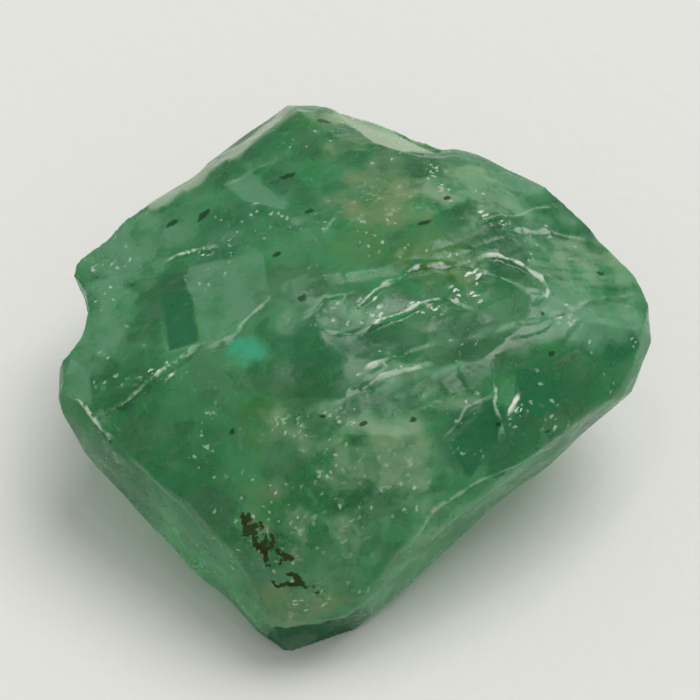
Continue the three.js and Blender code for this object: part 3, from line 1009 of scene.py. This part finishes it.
def white_marks_and_glints(paint, place, lengthwise):
    """How white each place is: white flecks, partly frosted and partly painted sparkle, painted highlight
    lines along broken edges, partly frosted, and painted highlights on ridges
    """
    # white flecks, partly frosted and partly painted sparkle: crowded in the frosted spots and stray
    # elsewhere
    crowd = paint.ramp(paint.noise(place, length=0.45, detail=1.0), 0.46, 0.5)
    dust_and_sparkle = flecks(paint, lengthwise, spacing=0.17, size=0.34, crowd=crowd)
    dust_and_sparkle = paint.number("MULTIPLY", dust_and_sparkle, paint.stored("frost_and_glint"))
    crowd = paint.ramp(paint.noise(place, length=1.6), 0.5, 0.58, 0, 0.5)
    stray = flecks(paint, place, spacing=0.3, size=0.12, crowd=crowd)
    broken = paint.ramp(paint.noise(place, length=0.3), 0.3, 0.46)
    uneven = paint.ragged(place, length=0.5, detail=1.0, amount=0.2)
    # painted highlight lines along the broken edges, partly frosted
    lip = paint.ramp(paint.number("ADD", paint.stored("edge_away"), uneven), 0.095, 0.03)
    lip = paint.number("MULTIPLY", paint.number("MULTIPLY", lip, broken), paint.stored("edge_bright"))
    # painted highlights on the sharp ridges
    ridge = paint.ramp(paint.stored("ridge"), 0.14, 0.35, 0, 0.22)
    return paint.largest(dust_and_sparkle, stray, lip, ridge)


def rust_marks(paint, place):
    """How rusty each place is, and the colour of the rust"""
    crumb = paint.ragged(place, length=0.16, detail=4.0, amount=2.2)
    rust = paint.number("MULTIPLY", paint.stored("rust"), paint.number("ADD", crumb, 0.8))
    red = paint.ramp(paint.noise(place, length=0.5), 0.54, 0.62)
    return paint.ramp(rust, 0.34, 0.46, 0, 0.95), paint.mix(red, BROWN_RUST, RED_RUST)


def marks(paint, place, lengthwise, colour, clear):
    """Adds pale thin edges, white marks that are partly painted glints and highlights, dark grains and the
    rust
    """
    thin = paint.ramp(paint.stored("thin"), 0.35, 0.8, 0, 0.35)
    colour = paint.mix(thin, colour, THIN_EDGE)
    # whiter where the crystal is frosted and where glints and highlight lines are painted
    white = white_marks_and_glints(paint, place, lengthwise)
    colour = paint.mix(white, colour, (*CLOUDS["frost_and_glint"].colour, 1))
    clear = paint.blend(white, clear, CLOUDS["frost_and_glint"].clear)
    ragged = paint.ragged(place, length=0.15, detail=2.0, amount=0.8)
    grains = paint.ramp(paint.number("ADD", paint.stored("grains"), ragged), 0.3, 0.6)
    colour = paint.mix(paint.number("MULTIPLY", grains, 0.92), colour, DARK_GRAIN)
    clear = paint.blend(grains, clear, 0.1)
    rust, brown = rust_marks(paint, place)
    colour = paint.mix(rust, colour, brown)
    clear = paint.blend(rust, clear, 0.0)
    return colour, clear, rust, paint.largest(white, rust, grains)


def emerald_material(colours):
    """Clear green crystal, cloudy where its clouds are and opaque where it is marked"""
    paint = Paint("emerald")
    place = paint.millimetres()
    lengthwise = along_growth(paint, place, squeeze=0.6)
    colour, clear = body_colour(paint, place, lengthwise, colours)
    colour, clear, rust, opaque = marks(paint, place, lengthwise, colour, clear)
    rough = paint.ramp(paint.noise(place, length=0.8), 0.35, 0.65, 0.22, 0.42)
    rough = paint.blend(rust, rough, 0.8)
    fine = paint.noise(place, length=0.16)
    bump = paint.add("ShaderNodeBump", {"Strength": 0.3, "Distance": FINE_GRAIN, "Height": fine})
    paint.surface(Base_Color=colour, Roughness=rough, Normal=bump.outputs["Normal"], IOR=colours.refraction)
    paint.surface(Transmission_Weight=clear, Subsurface_Weight=paint.number("SUBTRACT", 1.0, opaque))
    paint.surface(Subsurface_Radius=(0.5, 1.0, 0.6), Subsurface_Scale=0.0003, Specular_IOR_Level=0.08)
    volume = paint.add("ShaderNodeVolumeAbsorption", {"Color": (0.3, 0.85, 0.5, 1), "Density": 40.0})
    paint.links.new(volume.outputs["Volume"], paint.output.inputs["Volume"])
    return paint.material


def veil_material():
    """A milky film that is mostly see-through"""
    paint = Paint("healed_crack")
    film = paint.ramp(paint.noise(paint.millimetres(), length=0.4, detail=6.0), 0.35, 0.65)
    rough = paint.ramp(film, 0, 1, 0.3, 0.6)
    paint.surface(Base_Color=paint.mix(film, *CRACK_TONES), Roughness=rough, Alpha=0.3, IOR=1.33)
    return paint.material


def grain_material():
    """Nearly black green mineral"""
    paint = Paint("dark_grain")
    tint = paint.noise(paint.millimetres(), length=0.2)
    rough = paint.ramp(tint, 0.3, 0.7, 0.3, 0.5)
    paint.surface(Base_Color=paint.mix(tint, *GRAIN_TONES), Roughness=rough)
    return paint.material


def paper_material(stage):
    """Plain matt paper"""
    paint = Paint("paper")
    fibre = paint.noise(paint.millimetres(), length=0.6, detail=6.0)
    bump = paint.add("ShaderNodeBump", {"Strength": 0.3, "Distance": PAPER_GRAIN, "Height": fibre})
    paint.surface(Base_Color=(*stage.floor, 1), Roughness=0.9, Normal=bump.outputs["Normal"])
    return paint.material


# ---- Pieces -------------------------------------------------------------------------------------


def add_piece(name, mesh, material):
    """The mesh as an object of the scene, in one material."""
    piece = bpy.data.objects.new(name, mesh)
    bpy.context.scene.collection.objects.link(piece)
    mesh.materials.clear()
    mesh.materials.append(material)
    return piece


# ---- Stage --------------------------------------------------------------------------------------
# All in metres.

LOOK_AT = Vector((-0.0001, 0.00045, 0.004))
FLOOR_REACH = 0.5  # from the crystal to the paper's edges
FLOOR_DROP = 0.00002  # keeps the paper clear of the resting face
SKY = (1.0, 0.99, 0.97, 1)
SKY_STRENGTH = 0.45


def add_floor(stage):
    """The sheet of paper under the crystal."""
    mesh = bpy.data.meshes.new("floor")
    bm = bmesh.new()
    bmesh.ops.create_grid(bm, x_segments=1, y_segments=1, size=FLOOR_REACH)
    bmesh.ops.translate(bm, vec=(0, 0, -FLOOR_DROP), verts=bm.verts)
    bm.to_mesh(mesh)
    bm.free()
    add_piece("floor", mesh, paper_material(stage))


def add_area_light(name, place, size, power, colour):
    """A round lamp that faces the crystal."""
    light = bpy.data.lights.new(name, "AREA")
    light.shape = "DISK"
    light.size = size
    light.energy = power
    light.color = colour
    lamp = bpy.data.objects.new(name, light)
    bpy.context.scene.collection.objects.link(lamp)
    lamp.location = place
    lamp.rotation_euler = (LOOK_AT - Vector(place)).to_track_quat("-Z", "Y").to_euler()


def add_lights():
    """An even sky, a broad window behind on the right and a small lamp above."""
    world = bpy.data.worlds.new("soft_room")
    world.use_nodes = True
    background = world.node_tree.nodes["Background"]
    background.inputs["Color"].default_value = SKY
    background.inputs["Strength"].default_value = SKY_STRENGTH
    bpy.context.scene.world = world
    add_area_light("window", place=(0.55, 0.5, 1.65), size=1.3, power=17.5, colour=(1.0, 0.99, 0.98))
    add_area_light("lamp", place=(-0.04, 0.02, 0.3), size=0.02, power=0.02, colour=(1.0, 1.0, 1.0))


def add_camera(stage):
    """The camera, looking down at the crystal from in front."""
    camera = bpy.data.cameras.new("camera")
    camera.sensor_width = 36
    camera.lens = camera.sensor_width * stage.distance / stage.seen_width
    camera.clip_start = 0.001
    camera.clip_end = 10
    eye = bpy.data.objects.new("camera", camera)
    bpy.context.scene.collection.objects.link(eye)
    toward = Vector((0, math.cos(stage.elevation), -math.sin(stage.elevation)))
    eye.location = LOOK_AT - toward * stage.distance
    eye.rotation_euler = toward.to_track_quat("-Z", "Y").to_euler()
    bpy.context.scene.camera = eye


# ---- Operators ----------------------------------------------------------------------------------


class EMERALD_OT_crystal(bpy.types.Operator):
    """Make the crystal's broken skin and its green body"""

    bl_idname = "emerald.crystal"
    bl_label = "Crystal"

    def execute(self, context):
        scene = context.scene
        mesh = crystal_mesh(scene.emerald_skin)
        piece = add_piece("crystal", mesh, emerald_material(scene.emerald_colours))
        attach(piece, BODY)
        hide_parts(NODE)
        return {"FINISHED"}


class EMERALD_OT_veils(bpy.types.Operator):
    """Make the healed cracks sealed in the crystal"""

    bl_idname = "emerald.veils"
    bl_label = "Healed cracks"

    def execute(self, context):
        skin = skin_tree()
        bm = bmesh.new()
        for middle, facing, radius in VEILS:
            add_veil(bm, skin, middle, facing, radius)
        piece = add_piece("healed_cracks", finished(bm, "healed_cracks"), veil_material())
        piece.data.shade_smooth()
        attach(piece, BODY)
        return {"FINISHED"}


class EMERALD_OT_grains(bpy.types.Operator):
    """Make the dark grains sealed in the crystal"""

    bl_idname = "emerald.grains"
    bl_label = "Dark grains"

    def execute(self, context):
        skin = skin_tree()
        rng = random.Random(GRAIN_SEED)
        bm = bmesh.new()
        for middle, half_length, half_width in GRAINS:
            add_grain(bm, skin, middle, half_length, half_width, rng)
        for middle in loose_places(skin, LOOSE_GRAINS, rng):
            half_width = rng.uniform(0.015, 0.05)
            add_grain(bm, skin, middle, half_width * rng.uniform(1, 3), half_width, rng)
        piece = add_piece("dark_grains", finished(bm, "dark_grains"), grain_material())
        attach(piece, BODY)
        return {"FINISHED"}


class EMERALD_OT_stage(bpy.types.Operator):
    """Make the paper floor, the soft lights and the camera"""

    bl_idname = "emerald.stage"
    bl_label = "Stage"

    def execute(self, context):
        stage = context.scene.emerald_stage
        add_floor(stage)
        add_lights()
        add_camera(stage)
        return {"FINISHED"}


class EMERALD_PT_panel(bpy.types.Panel):
    """Lists what makes the rough emerald"""

    bl_label = "Rough emerald"
    bl_idname = "EMERALD_PT_panel"
    bl_space_type = "VIEW_3D"
    bl_region_type = "UI"
    bl_category = "Emerald"

    def draw(self, context):
        for operator in OPERATORS:
            self.layout.operator(operator.bl_idname)


SETTINGS = {
    "emerald_skin": EmeraldSkinSettings,
    "emerald_colours": EmeraldColourSettings,
    "emerald_stage": EmeraldStageSettings,
}
OPERATORS = (EMERALD_OT_crystal, EMERALD_OT_veils, EMERALD_OT_grains, EMERALD_OT_stage)


def register():
    for cls in (*SETTINGS.values(), *OPERATORS, EMERALD_PT_panel):
        bpy.utils.register_class(cls)
    for name, cls in SETTINGS.items():
        setattr(bpy.types.Scene, name, PointerProperty(type=cls))


def unregister():
    for name in SETTINGS:
        delattr(bpy.types.Scene, name)
    for cls in reversed((*SETTINGS.values(), *OPERATORS, EMERALD_PT_panel)):
        bpy.utils.unregister_class(cls)


def main():
    register()
    bpy.context.scene.view_settings.view_transform = "Standard"
    bpy.ops.emerald.crystal()
    bpy.ops.emerald.veils()
    bpy.ops.emerald.grains()
    bpy.ops.emerald.stage()


if __name__ == "__main__":
    main()
